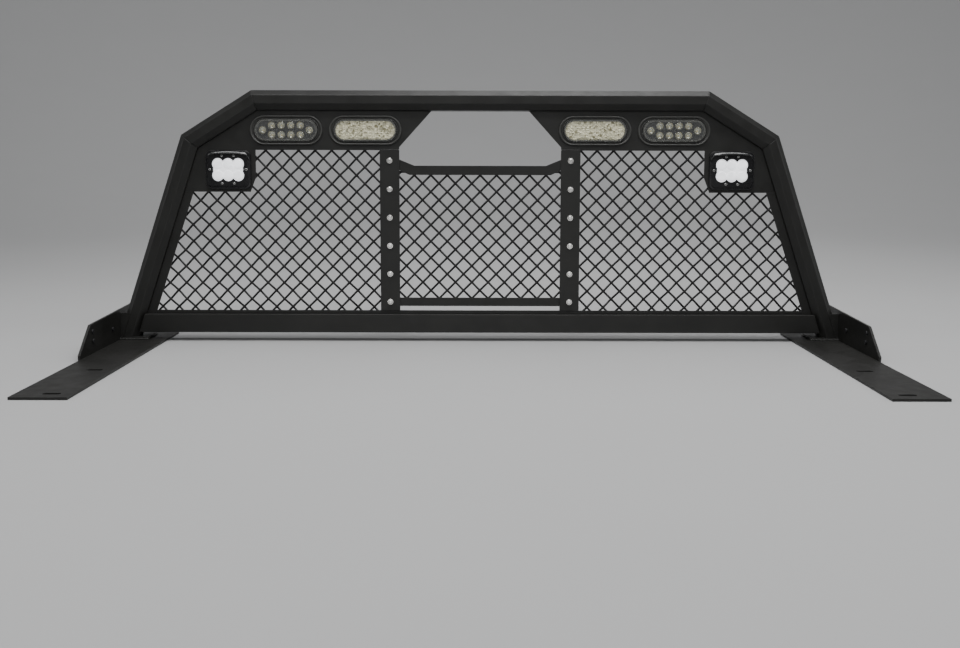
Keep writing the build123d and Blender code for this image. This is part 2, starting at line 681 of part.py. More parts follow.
# the web closes the corner between the leg's outer faces and the side plate, flush with the leg's front
web_corners = [
    (leg_outer_x(WEB_HIGH) - HALF, WEB_HIGH),
    (FOOT_OUT, WEB_HIGH),
    (FOOT_OUT, 0.0),
    (leg_outer_x(0) - HALF, 0.0),
]
web = place(sheet(web_corners, WEB_DEPTH, WEB))
web = split(web, bisect_by=Plane.XY.offset(PLATE + SHOE), keep=Keep.TOP)
leg_axis = Plane(
    origin=(leg_outer_x(WEB_HIGH) - HALF * cos(LEG_TILT), WEB_HIGH - HALF * sin(LEG_TILT), -HALF),
    x_dir=(0, 0, 1),
    z_dir=(sin(LEG_TILT), -cos(LEG_TILT), 0),
)
both("leg_web", web - place(extrude(leg_axis * octagon(HALF), amount=LEG_OUT_AT_FOOT, both=True)))

# ---------------------------------------------------------------- output
boxes = [shape.bounding_box() for shape in parts.values()]
middle = (min(b.min.Y for b in boxes) + max(b.max.Y for b in boxes)) / 2
os.makedirs("parts", exist_ok=True)
for name, shape in parts.items():
    moved = Pos(0, -middle, 0) * shape
    export_step(moved, f"parts/{name}.step")
print(len(parts), "nodes; origin lies", round(-middle, 3), "mm from the rack's front face at the foot")
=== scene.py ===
"""Looks for the headache rack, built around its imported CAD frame. All lengths are metres."""

import json
from math import atan2, cos, pi, radians, sin, sqrt

import bmesh
import bpy
import numpy as np
from mathutils import Matrix, Vector

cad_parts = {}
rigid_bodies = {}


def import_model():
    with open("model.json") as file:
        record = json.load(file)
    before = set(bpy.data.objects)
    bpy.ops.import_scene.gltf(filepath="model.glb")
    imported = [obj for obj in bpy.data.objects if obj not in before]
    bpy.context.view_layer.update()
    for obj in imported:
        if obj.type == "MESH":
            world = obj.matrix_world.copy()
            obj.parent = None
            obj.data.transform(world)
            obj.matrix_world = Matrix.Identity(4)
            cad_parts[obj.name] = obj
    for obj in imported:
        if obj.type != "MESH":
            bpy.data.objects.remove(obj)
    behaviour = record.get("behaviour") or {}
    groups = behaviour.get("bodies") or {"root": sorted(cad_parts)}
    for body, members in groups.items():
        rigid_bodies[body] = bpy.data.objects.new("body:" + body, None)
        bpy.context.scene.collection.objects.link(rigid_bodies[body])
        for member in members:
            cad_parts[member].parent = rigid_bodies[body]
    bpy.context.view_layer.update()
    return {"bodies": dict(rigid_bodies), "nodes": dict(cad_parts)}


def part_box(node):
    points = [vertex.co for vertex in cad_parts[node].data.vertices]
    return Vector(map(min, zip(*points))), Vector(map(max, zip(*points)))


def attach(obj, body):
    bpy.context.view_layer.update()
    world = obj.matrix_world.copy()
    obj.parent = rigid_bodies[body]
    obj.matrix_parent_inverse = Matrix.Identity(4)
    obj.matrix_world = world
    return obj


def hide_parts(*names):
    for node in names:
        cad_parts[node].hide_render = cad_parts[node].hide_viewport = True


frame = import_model()
BODY = next(iter(frame["bodies"]))

# ---------------------------------------------------------------- places taken from the frame
LEAN = radians(5.5)
FOOT_AHEAD = 0.570              # from a foot plate's front end to the rack's front face
foot_low, foot_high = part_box("right_foot_plate")
FACE_Y = foot_low.y + FOOT_AHEAD
PLATE = foot_high.z
# the rack's plane (across, up along the rack, towards the tailgate) to the frame's axes
RACK = Matrix(
    (
        (1, 0, 0, 0),
        (0, sin(LEAN), -cos(LEAN), FACE_Y),
        (0, cos(LEAN), sin(LEAN), PLATE),
        (0, 0, 0, 1),
    )
)


def rack_centre(node):
    """The middle of a node's box, in the rack's plane."""
    low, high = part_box(node)
    return RACK.inverted() @ ((low + high) / 2)


# ---------------------------------------------------------------- node helpers
def shader(name):
    """A new node material: the material, its tree and its surface shader."""
    material = bpy.data.materials.new(name)
    material.use_nodes = True
    tree = material.node_tree
    return material, tree, tree.nodes["Principled BSDF"]


def node(tree, kind, **values):
    """A new node with its inputs or settings given by name."""
    made = tree.nodes.new(kind)
    for key, value in values.items():
        if key in made.inputs:
            made.inputs[key].default_value = value
        else:
            setattr(made, key, value)
    return made


def object_coords(tree):
    return node(tree, "ShaderNodeTexCoord").outputs["Object"]


def noise(tree, scale, detail=3.0):
    made = node(tree, "ShaderNodeTexNoise", Scale=scale, Detail=detail)
    tree.links.new(object_coords(tree), made.inputs["Vector"])
    return made.outputs["Fac"]


def ramp(tree, source, low, high, start, end):
    """Maps source from low..high to start..end."""
    made = node(tree, "ShaderNodeMapRange")
    made.inputs["From Min"].default_value = low
    made.inputs["From Max"].default_value = high
    made.inputs["To Min"].default_value = start
    made.inputs["To Max"].default_value = end
    tree.links.new(source, made.inputs["Value"])
    return made.outputs["Result"]


def scaled(colour, share):
    return tuple(c * share for c in colour)


def mix_colour(tree, factor, first, second):
    made = node(tree, "ShaderNodeMix", data_type="RGBA")
    tree.links.new(factor, made.inputs["Factor"])
    for socket, value in ((made.inputs[6], first), (made.inputs[7], second)):
        if isinstance(value, tuple):
            socket.default_value = (*value, 1.0)
        else:
            tree.links.new(value, socket)
    return made.outputs[2]


def bump(tree, height, strength, distance):
    made = node(tree, "ShaderNodeBump", Strength=strength, Distance=distance)
    tree.links.new(height, made.inputs["Height"])
    return made.outputs["Normal"]


def edge_mask(tree, radius, gain):
    """One on convex and concave edges, nought on flats."""
    bevel = node(tree, "ShaderNodeBevel", Radius=radius, samples=4)
    geometry = node(tree, "ShaderNodeNewGeometry")
    dot = node(tree, "ShaderNodeVectorMath", operation="DOT_PRODUCT")
    tree.links.new(bevel.outputs["Normal"], dot.inputs[0])
    tree.links.new(geometry.outputs["Normal"], dot.inputs[1])
    return ramp(tree, dot.outputs["Value"], 1.0, 1.0 - gain, 0.0, 1.0)


def multiply(tree, a, b):
    made = node(tree, "ShaderNodeMath", operation="MULTIPLY")
    tree.links.new(a, made.inputs[0])
    tree.links.new(b, made.inputs[1])
    return made.outputs[0]


def uneven(tree, bsdf, scale, detail, low, high):
    """Lets the surface's roughness wander between two values."""
    tree.links.new(ramp(tree, noise(tree, scale, detail), 0.3, 0.7, low, high), bsdf.inputs["Roughness"])


# ---------------------------------------------------------------- materials
def powder_coat(name, base, rough, texture=0.35, wear=0.35, dust=0.25, specular=0.36):
    """Black powder coat: fine orange peel, uneven gloss, rubbed edges, dust on what faces up."""
    material, tree, bsdf = shader(name)
    cloud = noise(tree, 9.0, 4.0)
    fine = noise(tree, 850.0, 2.0)
    rubbed = ramp(tree, noise(tree, 45.0, 6.0), 0.45, 0.65, 0.0, wear)
    worn = multiply(tree, edge_mask(tree, 0.0016, 0.10), rubbed)
    colour = mix_colour(tree, ramp(tree, cloud, 0.35, 0.65, 0.0, 1.0), base, scaled(base, 1.35))
    colour = mix_colour(tree, worn, colour, (0.10, 0.10, 0.10))
    geometry = node(tree, "ShaderNodeNewGeometry")
    split = node(tree, "ShaderNodeSeparateXYZ")
    tree.links.new(geometry.outputs["Normal"], split.inputs[0])
    upward = ramp(tree, split.outputs["Z"], 0.7, 1.0, 0.0, dust)
    speckle = ramp(tree, noise(tree, 160.0, 6.0), 0.4, 0.75, 0.2, 1.0)
    colour = mix_colour(tree, multiply(tree, upward, speckle), colour, (0.11, 0.105, 0.10))
    tree.links.new(colour, bsdf.inputs["Base Color"])
    uneven(tree, bsdf, 30.0, 5.0, rough - 0.06, rough + 0.08)
    tree.links.new(bump(tree, fine, texture, 0.00025), bsdf.inputs["Normal"])
    bsdf.inputs["Specular IOR Level"].default_value = specular
    return material


def steel(name, base, rough):
    """Plain stainless with fine random scratches."""
    material, tree, bsdf = shader(name)
    fine = noise(tree, 1400.0, 3.0)
    colour = mix_colour(tree, noise(tree, 120.0, 4.0), base, scaled(base, 0.72))
    tree.links.new(colour, bsdf.inputs["Base Color"])
    tree.links.new(ramp(tree, fine, 0.3, 0.7, rough - 0.08, rough + 0.12), bsdf.inputs["Roughness"])
    tree.links.new(bump(tree, fine, 0.12, 0.0001), bsdf.inputs["Normal"])
    bsdf.inputs["Metallic"].default_value = 1.0
    return material


def plastic(name, base, rough, grain=0.2, scale=1100.0):
    """Moulded plastic or rubber with a fine grain."""
    material, tree, bsdf = shader(name)
    colour = mix_colour(tree, noise(tree, 60.0, 5.0), base, scaled(base, 1.5))
    tree.links.new(colour, bsdf.inputs["Base Color"])
    uneven(tree, bsdf, 90.0, 4.0, rough - 0.07, rough + 0.1)
    tree.links.new(bump(tree, noise(tree, scale, 2.0), grain, 0.0002), bsdf.inputs["Normal"])
    return material


def clear(name, tint, alpha, rough):
    """Clear moulded polycarbonate, seen mostly by its gloss."""
    material, tree, bsdf = shader(name)
    colour = mix_colour(tree, noise(tree, 200.0), tint, scaled(tint, 0.94))
    tree.links.new(colour, bsdf.inputs["Base Color"])
    uneven(tree, bsdf, 70.0, 5.0, rough, rough + 0.08)
    bsdf.inputs["Alpha"].default_value = alpha
    bsdf.inputs["IOR"].default_value = 1.58
    material.surface_render_method = "DITHERED"
    return material


def chrome(name, base):
    """Vacuum-metallised reflector."""
    material, tree, bsdf = shader(name)
    colour = mix_colour(tree, noise(tree, 300.0), base, scaled(base, 0.8))
    tree.links.new(colour, bsdf.inputs["Base Color"])
    uneven(tree, bsdf, 400.0, 3.0, 0.12, 0.24)
    bsdf.inputs["Metallic"].default_value = 1.0
    return material


def crackled(name, light, dark):
    """Prismatic moulded plastic: many small facets painted in cells of two tones, pale cells the
    plastic's own tone with painted glints, dark cells painted shade seen through to the body behind.
    """
    material, tree, bsdf = shader(name)
    cells = node(tree, "ShaderNodeTexVoronoi", Scale=190.0)
    tree.links.new(object_coords(tree), cells.inputs["Vector"])
    shade = node(tree, "ShaderNodeSeparateColor")
    tree.links.new(cells.outputs["Color"], shade.inputs[0])
    # painted light: pale cells carry painted glints, dark cells painted shade seen through the facets
    colour = mix_colour(tree, ramp(tree, shade.outputs[0], 0.40, 1.0, 0.0, 1.0), light, dark)
    tree.links.new(colour, bsdf.inputs["Base Color"])
    tree.links.new(ramp(tree, shade.outputs[1], 0.0, 1.0, 0.05, 0.25), bsdf.inputs["Roughness"])
    tree.links.new(bump(tree, cells.outputs["Distance"], 0.9, 0.003), bsdf.inputs["Normal"])
    return material


def glowing(name, colour, strength):
    """A lit optic: bright, with slightly uneven light."""
    material, tree, bsdf = shader(name)
    cloud = ramp(tree, noise(tree, 55.0), 0.35, 0.65, 0.0, 1.0)
    shade = mix_colour(tree, cloud, colour, scaled(colour, 0.86))
    tree.links.new(shade, bsdf.inputs["Base Color"])
    tree.links.new(shade, bsdf.inputs["Emission Color"])
    bsdf.inputs["Emission Strength"].default_value = strength
    uneven(tree, bsdf, 90.0, 3.0, 0.1, 0.2)
    return material


COAT = powder_coat("powder_coat_black", (0.0095, 0.0095, 0.0086), 0.42, dust=0.10)
WIRE_COAT = powder_coat(
    "powder_coat_wire", (0.007, 0.007, 0.007), 0.45, texture=0.15, wear=0.15, dust=0.05
)
CAST_BLACK = (0.0065, 0.0065, 0.007)
CASTING = powder_coat("coated_casting", CAST_BLACK, 0.25, texture=0.25, wear=0.2, dust=0.1)
GLOSS = powder_coat(
    "gloss_casting", CAST_BLACK, 0.16, texture=0.08, wear=0.1, dust=0.0, specular=1.0
)
WELD = powder_coat("coated_weld", (0.011, 0.011, 0.010), 0.36, texture=0.2)
STEEL = steel("stainless_steel", (0.84, 0.83, 0.80), 0.26)
POLISHED = steel("polished_stainless", (0.50, 0.50, 0.49), 0.15)
BLACK_BOLT = powder_coat(
    "black_oxide", (0.012, 0.012, 0.013), 0.30, texture=0.1, wear=0.5, dust=0.1
)
RUBBER = plastic("grommet_rubber", (0.028, 0.028, 0.026), 0.40)
DARK_PLASTIC = plastic("lamp_plastic_black", (0.010, 0.010, 0.0105), 0.30)
BOARD_WHITE = plastic("solder_mask_white", (0.50, 0.48, 0.40), 0.5)
PHOSPHOR = plastic("led_phosphor", (0.56, 0.44, 0.13), 0.45)
CHROME = chrome("reflector_chrome", (0.36, 0.36, 0.32))
CLEAR = clear("lens_clear", (0.80, 0.82, 0.80), 0.06, 0.04)
RIM = clear("lens_rim", (0.10, 0.10, 0.09), 0.36, 0.10)
# the prismatic lens's cell colours are painted glints and painted shade on its pale tone
WARM_OPTIC = crackled("lens_prismatic_painted_glints_and_shade", (0.66, 0.625, 0.43), (0.16, 0.145, 0.06))
OPTIC = clear("optic_clear", (0.55, 0.56, 0.46), 0.26, 0.03)
LIT = glowing("flood_optic_lit", (0.93, 0.94, 0.97), 1.05)


# ---------------------------------------------------------------- mesh helpers
def finish_mesh(name, mesh, material, replaced=(), sharp=35.0, in_rack=True, weighted=False):
    """Turns mesh data into a piece that rides on the frame."""
    if in_rack:
        mesh.transform(RACK)
    mesh.shade_smooth()
    mesh.set_sharp_from_angle(angle=radians(sharp))
    for m in material if isinstance(material, list) else [material]:
        mesh.materials.append(m)
    piece = bpy.data.objects.new(name, mesh)
    bpy.context.scene.collection.objects.link(piece)
    if weighted:
        even = piece.modifiers.new("flat_faces", "WEIGHTED_NORMAL")
        even.keep_sharp = True
    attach(piece, BODY)
    if replaced:
        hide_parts(*replaced)
    return piece


def from_lists(name, points, faces, indices=None):
    """A mesh from points and faces, with its faces turned outwards."""
    mesh = bpy.data.meshes.new(name)
    mesh.from_pydata([tuple(p) for p in points], [], faces)
    if indices is not None:
        mesh.polygons.foreach_set("material_index", indices)
    bm = bmesh.new()
    bm.from_mesh(mesh)
    bmesh.ops.recalc_face_normals(bm, faces=bm.faces)
    bm.to_mesh(mesh)
    bm.free()
    return mesh


def soften(node_name, material, width=0.0007, segments=2, angle=24.0):
    """A copy of a CAD piece with its edges rounded, standing for it."""
    mesh = frame["nodes"][node_name].data.copy()
    bm = bmesh.new()
    bm.from_mesh(mesh)
    bmesh.ops.remove_doubles(bm, verts=bm.verts, dist=1e-6)
    bmesh.ops.dissolve_limit(bm, angle_limit=radians(0.5), verts=bm.verts, edges=bm.edges)
    sharp = [
        e for e in bm.edges if len(e.link_faces) == 2 and e.calc_face_angle(0.0) > radians(angle)
    ]
    bmesh.ops.bevel(
        bm,
        geom=sharp,
        offset=width,
        offset_type="OFFSET",
        segments=segments,
        profile=0.5,
        affect="EDGES",
        clamp_overlap=True,
    )
    bmesh.ops.triangulate(bm, faces=[f for f in bm.faces if len(f.verts) > 4])
    bm.to_mesh(mesh)
    bm.free()
    mesh.materials.clear()
    return finish_mesh(
        node_name + "_finished",
        mesh,
        material,
        (node_name,),
        sharp=50.0,
        in_rack=False,
        weighted=True,
    )


def stadium_loop(length, width, z, centre, count=96):
    """Points round an oval with straight sides, evenly spaced."""
    radius = width / 2
    straight = length - width
    total = 2 * straight + 2 * pi * radius
    loop = []
    for i in range(count):
        s = total * i / count
        if s < straight:
            x, y = s - straight / 2, -radius
        elif s < straight + pi * radius:
            a = (s - straight) / radius - pi / 2
            x, y = straight / 2 + radius * cos(a), radius * sin(a)
        elif s < 2 * straight + pi * radius:
            x, y = straight / 2 - (s - straight - pi * radius), radius
        else:
            a = (s - 2 * straight - pi * radius) / radius + pi / 2
            x, y = -straight / 2 + radius * cos(a), radius * sin(a)
        loop.append((centre[0] + x, centre[1] + y, z))
    return loop


def loft(loops, closed=False, cap_first=True, cap_last=True):
    """Joins loops of equal count; closed also joins the last loop to the first."""
    count = len(loops[0])
    points = [p for loop in loops for p in loop]
    faces = []
    pairs = [(i, i + 1) for i in range(len(loops) - 1)]
    if closed:
        pairs.append((len(loops) - 1, 0))
    for a, b in pairs:
        for i in range(count):
            j = (i + 1) % count
            faces.append((a * count + i, a * count + j, b * count + j, b * count + i))
    if not closed:
        if cap_first:
            faces.append(tuple(range(count)))
        if cap_last:
            last = (len(loops) - 1) * count
            faces.append(tuple(last + i for i in range(count)))
    return points, faces


def merge(chunks):
    """Joins (points, faces) or (points, faces, material index) chunks."""
    points, faces, indices = [], [], []
    for chunk in chunks:
        start = len(points)
        points.extend(chunk[0])
        faces.extend(tuple(start + i for i in face) for face in chunk[1])
        indices.extend([chunk[2] if len(chunk) > 2 else 0] * len(chunk[1]))
    return points, faces, indices


def disc_loop(radius, z, centre, count=28):
    """Points round a circle."""
    turns = [2 * pi * i / count for i in range(count)]
    return [(centre[0] + radius * cos(a), centre[1] + radius * sin(a), z) for a in turns]


def tube_along(points, radius, sides=8):
    """A closed round bar through points; radius may be a list, one for each point."""
    path = [Vector(p) for p in points]
    radii = radius if isinstance(radius, list) else [radius] * len(path)
    loops = []
    for i, p in enumerate(path):
        along = (path[min(i + 1, len(path) - 1)] - path[max(i - 1, 0)]).normalized()
        side = along.cross(Vector((0, 0, 1)))
        if side.length < 0.1:
            side = along.cross(Vector((0, 1, 0)))
        side.normalize()
        up = side.cross(along)
        turns = [2 * pi * k / sides for k in range(sides)]
        loops.append(
            [tuple(p + side * (radii[i] * cos(a)) + up * (radii[i] * sin(a))) for a in turns]
        )
    return loft(loops)


# ---------------------------------------------------------------- frame, sheet parts and feet
SIDES = ("left", "right")
TUBES = ["top_beam"] + [f"{side}_{kind}_tube" for side in SIDES for kind in ("shoulder", "leg")]
for name in TUBES:
    soften(name, COAT, width=0.0022, segments=3)
soften("bottom_beam", COAT, width=0.0026, segments=3)
SIDE_SHEETS = ("leg_strip", "light_panel", "upright", "screen_side_bar", "leg_web")
SHEETS = ["bottom_strip", "screen_top_bar", "screen_bottom_bar"]
SHEETS += [f"{side}_{kind}" for side in SIDES for kind in SIDE_SHEETS]
for name in SHEETS:
    soften(name, COAT, width=0.0006)
for side in ("left", "right"):
    for kind in ("foot_plate", "side_plate", "leg_shoe"):
        soften(f"{side}_{kind}", COAT, width=0.0009)
for name in ("screen_bolts", "screen_washers", "screen_nuts"):
    soften(name, STEEL, width=0.0003)
soften("foot_bolts", BLACK_BOLT, width=0.0012)

# ---------------------------------------------------------------- woven wire
DIAMOND = 0.0435
PITCH = DIAMOND / sqrt(2)
WIRE = 0.0056
STEPS = 6                       # points along a wire from one crossing to the next
SHORTEST = 0.006                # shorter stretches of wire are left out


def inside_spans(outline, point, direction):
    """The stretches of a line that lie inside an outline, as distances from point."""
    hits = []
    normal = Vector((-direction.y, direction.x))
    for a, b in zip(outline, outline[1:] + outline[:1]):
        ha, hb = (a - point).dot(normal), (b - point).dot(normal)
        if (ha > 0) != (hb > 0):
            hits.append(((a + (b - a) * (ha / (ha - hb))) - point).dot(direction))
    hits.sort()
    return list(zip(hits[::2], hits[1::2]))


def mean_depth(node_name):
    """The depth of a flat node's middle in the rack's plane."""
    inverse = RACK.inverted()
    return np.mean([(inverse @ v.co).z for v in frame["nodes"][node_name].data.vertices])


def wire_cloth(name, node_name, outline, phase):
    """Crimped wires that pass over and under each other inside an outline, with a border wire."""
    depth = mean_depth(node_name)
    chunks = []
    corners = [Vector(p) for p in outline]
    reach = max((c - Vector(phase)).length for c in corners)
    lines = int(reach / PITCH) + 2
    for family, sign in ((0, 1), (1, -1)):
        along = Vector((1, sign)).normalized()
        across = Vector((-along.y, along.x))
        for i in range(-lines, lines + 1):
            start = Vector(phase) + across * (i * PITCH)
            for first, last in inside_spans(corners, start, along):
                if last - first < SHORTEST:
                    continue
                count = max(2, int((last - first) / PITCH * STEPS))
                path = []
                for k in range(count + 1):
                    t = first + (last - first) * k / count
                    p = start + along * t
                    swing = cos(pi * t / PITCH) * (1 if (i + family) % 2 else -1)
                    path.append((p.x, p.y, depth + swing * WIRE * 0.5))
                chunks.append(tube_along(path, WIRE / 2))
    for a, b in zip(corners, corners[1:] + corners[:1]):
        chunks.append(tube_along([(a.x, a.y, depth), (b.x, b.y, depth)], WIRE / 2))
    points, faces, _ = merge(chunks)
    mesh = from_lists(name, points, faces)
    return finish_mesh(name, mesh, WIRE_COAT, (node_name,), sharp=60.0)


LEG_FOOT_X = 0.9635             # the leg's outer face at the foot plate and at the shoulder
LEG_TOP_X = 0.7825
LEG_TOP = 0.536
TUBE = 0.0508
LEG_STRIP = 0.022
LIP = 0.012                     # how far the wire reaches behind its edging
LEG_TILT = atan2(LEG_FOOT_X - LEG_TOP_X, LEG_TOP)
LEG_TO_WIRE = (TUBE + LEG_STRIP) / cos(LEG_TILT) - LIP + 0.0026


def wire_edge_x(height):
    """The wire's outer edge beside the leg, at a height along the rack."""
    leg_x = LEG_FOOT_X - height * (LEG_FOOT_X - LEG_TOP_X) / LEG_TOP
    return leg_x - LEG_TO_WIRE


SIDE_IN = 0.2446                # the side panel's edge beside the upright
SIDE_LOW, SIDE_STEP, SIDE_HIGH = 0.0706, 0.3984, 0.5074
FLOOD_CORNER_X, FLOOD_EDGE_X, FLOOD_CORNER_Y = 0.6054, 0.6030, 0.428


def side_outline(sign):
    """The side panel of wire cloth, a little inside its CAD layer."""
    points = [
        (SIDE_IN, SIDE_LOW),
        (wire_edge_x(SIDE_LOW), SIDE_LOW),
        (wire_edge_x(SIDE_STEP), SIDE_STEP),
        (FLOOD_CORNER_X, SIDE_STEP),
        (FLOOD_EDGE_X, FLOOD_CORNER_Y),
        (FLOOD_EDGE_X, SIDE_HIGH),
        (SIDE_IN, SIDE_HIGH),
    ]
    points = [(sign * x, y) for x, y in points]
    return points if sign > 0 else points[::-1]


wire_cloth("right_wire_cloth", "right_wire_mesh", side_outline(1), (0.5692, 0.498))
wire_cloth("left_wire_cloth", "left_wire_mesh", side_outline(-1), (-0.5655, 0.498))
SCREEN_HALF, SCREEN_LOW, SCREEN_HIGH = 0.2304, 0.1016, 0.4424
SCREEN_OUTLINE = [
    (-SCREEN_HALF, SCREEN_LOW),
    (SCREEN_HALF, SCREEN_LOW),
    (SCREEN_HALF, SCREEN_HIGH),
    (-SCREEN_HALF, SCREEN_HIGH),
]
wire_cloth("centre_wire_cloth", "centre_wire_mesh", SCREEN_OUTLINE, (0.0, 0.434))

# ---------------------------------------------------------------- oval lamps
PANEL_FRONT = -0.020
LENS = (0.165, 0.057)
LED_PITCH = 0.025
LED_ROW = 0.0123
LED_END = 2.45                  # the two end sources' distance from the middle, in pitches
LAMP_FACE = PANEL_FRONT + 0.0055
OPTIC_FRONT = LAMP_FACE - 0.0026
BASE_DEPTH = -0.0112            # the base's face, behind the cover's
COVER_CROWN = 0.0012


def led_places():
    """Two rows of four sources and one at each end."""
    rows = [((i - 1.5) * LED_PITCH, row * LED_ROW) for row in (-1, 1) for i in range(4)]
    return rows + [(-LED_END * LED_PITCH, 0.0), (LED_END * LED_PITCH, 0.0)]


def grommet_mesh(centre):
    """Rubber ring: a rounded lip in front, a groove that holds the panel, a thinner lip behind."""
    # length, width and depth of each ring of points
    profile = [
        (0.190, 0.076, PANEL_FRONT + 0.0002),
        (0.190, 0.076, PANEL_FRONT + 0.0012),
        (0.1894, 0.0754, PANEL_FRONT + 0.0030),
        (0.1880, 0.0740, PANEL_FRONT + 0.0042),
        (0.1858, 0.0718, PANEL_FRONT + 0.0048),
        (0.1836, 0.0696, PANEL_FRONT + 0.0046),
        (0.1810, 0.0674, PANEL_FRONT + 0.0034),
        (0.1780, 0.0652, PANEL_FRONT + 0.0016),
        (0.1756, 0.0634, PANEL_FRONT + 0.0012),
        (0.1738, 0.0620, PANEL_FRONT + 0.0020),
        (0.1722, 0.0608, PANEL_FRONT + 0.0036),
        (0.1708, 0.0602, PANEL_FRONT + 0.0038),
        (0.1700, 0.0600, PANEL_FRONT + 0.0032),
        (0.1700, 0.0600, PANEL_FRONT - 0.0088),
        (0.1780, 0.0650, PANEL_FRONT - 0.0088),
        (0.1890, 0.0750, PANEL_FRONT - 0.0070),
        (0.1890, 0.0750, PANEL_FRONT - 0.0034),
        (0.1780, 0.0650, PANEL_FRONT - 0.0031),
        (0.1780, 0.0650, PANEL_FRONT + 0.0001),
    ]
    loops = [stadium_loop(length, width, z, centre) for length, width, z in profile]
    return loft(loops, closed=True)


def cover_mesh(centre):
    """Clear oval cover with a rolled rim and a gently crowned face."""
    # share of the cover's width and depth of each ring of points
    profile = [
        (1.000, -0.0060),
        (1.000, -0.0012),
        (0.995, -0.0003),
        (0.985, 0.0),
        (0.960, 0.0002 + 0.2 * COVER_CROWN),
        (0.850, 0.0002 + 0.5 * COVER_CROWN),
        (0.600, 0.0002 + 0.85 * COVER_CROWN),
        (0.200, 0.0002 + COVER_CROWN),
    ]
    loops = []
    for share, z in profile:
        inset = (1 - share) * LENS[1]
        loops.append(stadium_loop(LENS[0] - inset, LENS[1] - inset, LAMP_FACE + z, centre))
    return loft(loops, cap_first=False)


def rim_mesh(centre):
    """The thick welded edge of the cover, two fine ribs that catch the light."""
    # inset and depth of each ring of points
    section = [
        (0.0, 0.0002),
        (0.0006, 0.0010),
        (0.0014, 0.0010),
        (0.0020, 0.0003),
        (0.0044, 0.0003),
        (0.0049, 0.0008),
        (0.0055, 0.0008),
        (0.0060, 0.0002),
        (0.0060, -0.0002),
        (0.0, -0.0002),
    ]
    loops = []
    for inset, z in section:
        loops.append(stadium_loop(LENS[0] - 2 * inset, LENS[1] - 2 * inset, LAMP_FACE + z, centre))
    return loft(loops, closed=True)


# one light source: each row is a radius and a depth from the optic's front
BASE, CUP, SOURCE, DOME = range(4)
CUP_PROFILE = ((0.0106, 0.0), (0.0100, 0.0), (0.0090, -0.0030), (0.0068, -0.0062), (0.0036, -0.0080))
WALL_PROFILE = ((0.0106, 0.0), (0.0110, -0.0088))
SOURCE_PROFILE = ((0.0026, -0.0079), (0.0026, -0.0066), (0.0014, -0.0058))
DOME_PROFILE = ((0.0093, -0.0012), (0.0092, 0.0002), (0.0082, 0.0011), (0.0056, 0.0017), (0.0020, 0.0020))
RING_PROFILE = ((0.0026, 0.0019), (0.0030, 0.0024), (0.0036, 0.0024), (0.0040, 0.0018))


def turned(profile, place, count=28, **caps):
    """A round piece from its radii and depths."""
    return loft([disc_loop(r, OPTIC_FRONT + z, place, count) for r, z in profile], **caps)


def optic_chunks(centre, x, y):
    """One light source: metallised cup, yellow source on its pad, and a clear dome in front."""
    place = (centre[0] + x, centre[1] + y)
    return [
        (*turned(CUP_PROFILE, place, cap_first=False), CUP),
        (*turned(WALL_PROFILE, place, cap_first=False, cap_last=False), BASE),
        (*turned(SOURCE_PROFILE, place, 12), SOURCE),
        (*turned(DOME_PROFILE, place, cap_first=False), DOME),
        (*turned(RING_PROFILE, place, 16, cap_first=False, cap_last=False), DOME),
    ]


def base_mesh(centre):
    """The dark moulding that the optics sit in."""
    loops = []
    for inset, z in ((0.004, -0.004), (0.004, 0.0), (0.008, 0.0)):
        size = (LENS[0] - inset, LENS[1] - inset)
        loops.append(stadium_loop(*size, LAMP_FACE + BASE_DEPTH + z, centre))
    return loft(loops)


PRISM = 0.0046                  # side of one pillow prism
PRISM_HIGH = 0.0009
PRISM_MARGIN = 0.0035           # clear edge round the prisms
HALO_PITCH = 0.0075             # rings moulded round each source
HALO_HIGH = 0.0022
HALO_REACH = 0.013


def prism_sheet(centre):
    """A pale sheet of small pillow prisms, the diffusing optic of a reversing lamp."""
    step = PRISM / 4
    half_l, half_w = LENS[0] / 2 - PRISM_MARGIN, LENS[1] / 2 - PRISM_MARGIN
    columns, rows = int(half_l / step), int(half_w / step)
    points, faces, index = [], [], {}
    for i in range(-columns, columns + 1):
        for j in range(-rows, rows + 1):
            x, y = i * step, j * step
            reach = max(0.0, abs(x) - (half_l - half_w))
            if reach * reach + y * y > half_w * half_w:
                continue
            near = min(sqrt((x - lx) ** 2 + (y - ly) ** 2) for lx, ly in led_places())
            pillow = abs(sin(pi * x / PRISM)) * abs(sin(pi * y / PRISM))
            ring = 0.5 + 0.5 * cos(near * 2 * pi / HALO_PITCH)
            halo = HALO_HIGH * ring * max(0.0, 1 - near / HALO_REACH)
            z = LAMP_FACE - 0.0040 + PRISM_HIGH * pillow + halo
            index[i, j] = len(points)
            points.append((centre[0] + x, centre[1] + y, z))
    for (i, j), a in index.items():
        corners = [index.get(key) for key in ((i + 1, j), (i + 1, j + 1), (i, j + 1))]
        if None not in corners:
            faces.append((a, *corners))
    return points, faces


